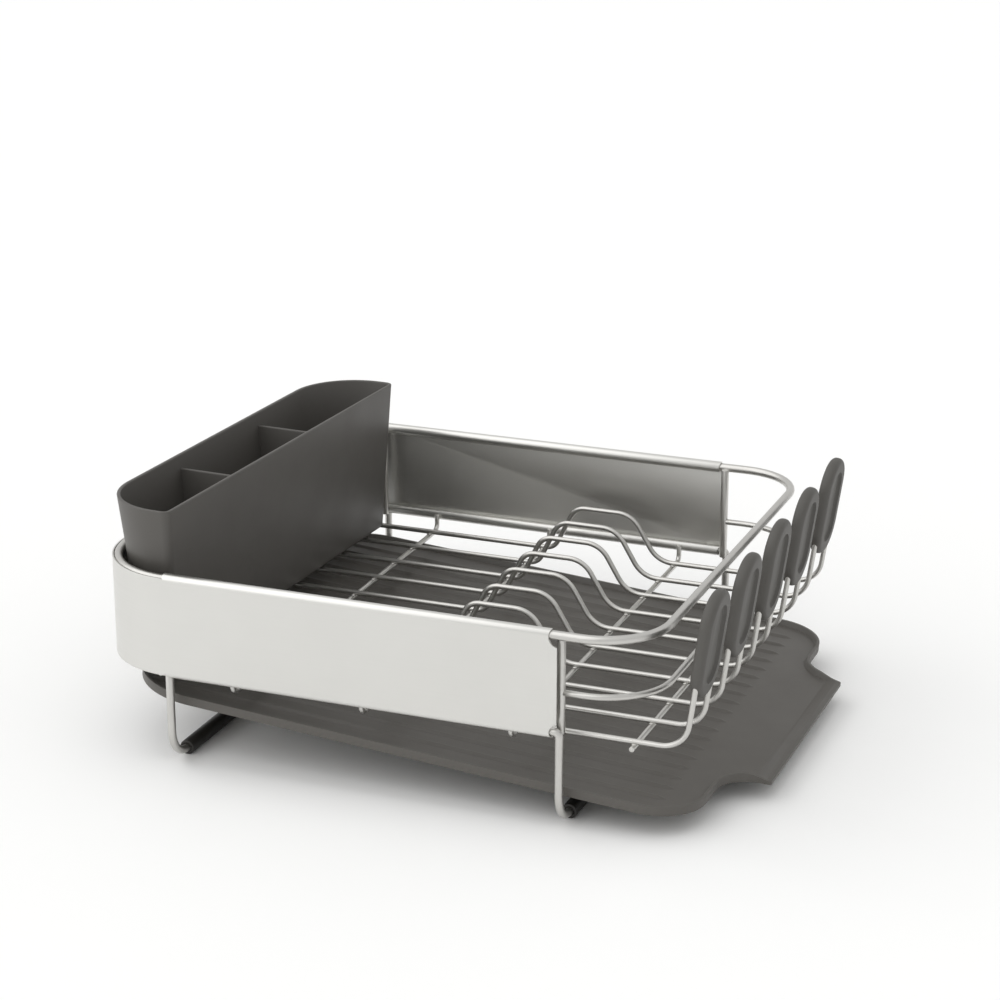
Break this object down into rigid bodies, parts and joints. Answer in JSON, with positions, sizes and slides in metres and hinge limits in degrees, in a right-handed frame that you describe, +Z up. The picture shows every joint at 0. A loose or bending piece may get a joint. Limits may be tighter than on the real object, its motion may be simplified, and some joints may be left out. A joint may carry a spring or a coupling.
{
  "type": "dish drying rack",
  "caption": "Compact wire dish drying rack with a steel band, a lift-out flatware caddy, plate loops, rubber-gripped mug posts and a sliding drainboard.",
  "frame": {"origin": "on the surface that the rack stands on, under the middle of the whole object", "axes": "+X from the flatware caddy's end to the mug end and the spout, +Y from front to back, +Z up"},
  "size_m": [0.3944, 0.322, 0.1529],
  "materials": {
    "band_steel": "satin brushed stainless sheet",
    "wire_steel": "satin stainless wire",
    "foot_rubber": "matt black rubber tube",
    "grip_rubber": "matt dark grey moulded rubber",
    "caddy_plastic": "fine textured dark grey moulded plastic",
    "board_plastic": "fine textured dark grey moulded plastic"
  },
  "bodies": {
    "rack": {"bottom_rail": "wire_steel", "cross_wire_1": "wire_steel", "cross_wire_2": "wire_steel", "cross_wire_3": "wire_steel", "cross_wire_4": "wire_steel", "cross_wire_5": "wire_steel", "foot_sleeve_left_front": "foot_rubber", "foot_sleeve_left_rear": "foot_rubber", "foot_sleeve_right_front": "foot_rubber", "foot_sleeve_right_rear": "foot_rubber", "leg_frame_left": "wire_steel", "leg_frame_right": "wire_steel", "mid_rail": "wire_steel", "mug_grip_1": "grip_rubber", "mug_grip_2": "grip_rubber", "mug_grip_3": "grip_rubber", "mug_grip_4": "grip_rubber", "mug_grip_5": "grip_rubber", "plate_wire_1": "wire_steel", "plate_wire_2": "wire_steel", "plate_wire_3": "wire_steel", "plate_wire_4": "wire_steel", "plate_wire_5": "wire_steel", "rail_post_left_front": "wire_steel", "rail_post_left_rear": "wire_steel", "rail_post_right_front": "wire_steel", "rail_post_right_rear": "wire_steel", "steel_band": "band_steel", "top_rail": "wire_steel"},
    "caddy": {"flatware_caddy": "caddy_plastic"},
    "drainboard": {"drainboard": "board_plastic"}
  },
  "joints": [
    {"name": "caddy_lift", "type": "slide", "parent": "rack", "child": "caddy", "axis": [0, 0, 1], "range_m": [0, 0.12]},
    {"name": "drainboard_slide", "type": "slide", "parent": "rack", "child": "drainboard", "axis": [1, 0, 0], "range_m": [0, 0.25]}
  ]
}
